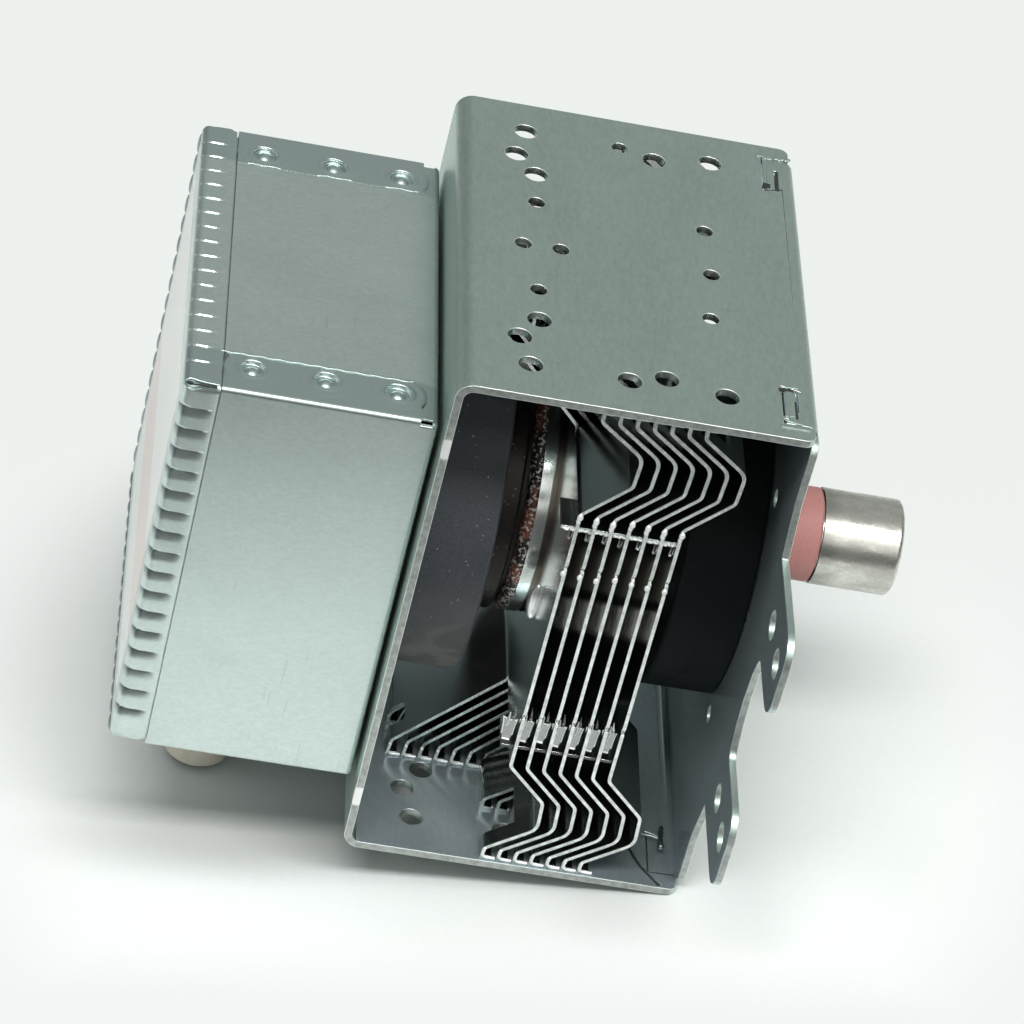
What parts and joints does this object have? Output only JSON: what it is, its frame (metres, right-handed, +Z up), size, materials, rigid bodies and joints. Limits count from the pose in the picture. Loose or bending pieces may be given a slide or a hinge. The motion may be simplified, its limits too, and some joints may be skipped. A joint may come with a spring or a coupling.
{
  "type": "magnetron",
  "caption": "Microwave magnetron: finned tube in a steel yoke with ring magnets, eared base plate, ceramic and metal antenna, and a crimped filter box with a connector.",
  "frame": {"origin": "on the antenna axis, in the plane of the mounting ears' outer faces", "axes": "+X along the antenna, away from the filter box; +Z up through one holed side plate; +Y along the mounting ears; the connector points to -Z"},
  "size_m": [0.1218, 0.1264, 0.1049],
  "materials": {
    "zinc_plate": "zinc-plated sheet, satin, grey with a faint green tinge",
    "tin_plate": "tinned sheet, satin",
    "ferrite": "sintered, matt, near black",
    "soot_steel": "heat-browned steel, satin",
    "aluminium": "bright rolled sheet",
    "copper": "bare copper, satin",
    "nickel": "nickel plate, semi-bright",
    "alumina_pink": "metallised alumina, matt pink",
    "alumina_white": "alumina, matt white",
    "wire_mesh": "knitted steel wire",
    "tungsten": "drawn tungsten and molybdenum, matt",
    "enamel_wire": "enamelled copper wire",
    "ferrite_core": "ferrite rod, matt",
    "moulding": "peach-brown moulding",
    "potting": "epoxy filling"
  },
  "bodies": {
    "root": {"yoke": "zinc_plate", "base_plate": "zinc_plate", "filter_box": "tin_plate", "filter_lid": "tin_plate", "capacitor_flange": "tin_plate", "capacitor_rivets": "tin_plate", "filter_end_magnet": "ferrite", "antenna_end_magnet": "ferrite", "magnet_seat_ring": "soot_steel", "fin_1": "aluminium", "fin_2": "aluminium", "fin_3": "aluminium", "fin_4": "aluminium", "fin_5": "aluminium", "fin_6": "aluminium", "fin_7": "aluminium", "anode_cylinder": "copper", "antenna_lead": "copper", "vane_1": "copper", "vane_2": "copper", "vane_3": "copper", "vane_4": "copper", "vane_5": "copper", "vane_6": "copper", "vane_7": "copper", "vane_8": "copper", "vane_9": "copper", "vane_10": "copper", "strap_inner_filter_end": "copper", "strap_inner_antenna_end": "copper", "strap_outer_filter_end": "copper", "strap_outer_antenna_end": "copper", "antenna_cap": "nickel", "exhaust_tube": "nickel", "seal_cup_filter_end": "nickel", "seal_cup_antenna_end": "nickel", "pole_piece_filter_end": "nickel", "pole_piece_antenna_end": "nickel", "terminal_tab_1": "nickel", "terminal_tab_2": "nickel", "antenna_ceramic": "alumina_pink", "cathode_stem": "alumina_white", "gasket": "wire_mesh", "filament": "tungsten", "end_hat_antenna_side": "tungsten", "end_hat_filter_side": "tungsten", "centre_lead": "tungsten", "side_lead": "tungsten", "choke_coil_1": "enamel_wire", "choke_coil_2": "enamel_wire", "choke_core_1": "ferrite_core", "choke_core_2": "ferrite_core", "capacitor_housing": "moulding", "capacitor_body": "potting"}
  },
  "joints": []
}
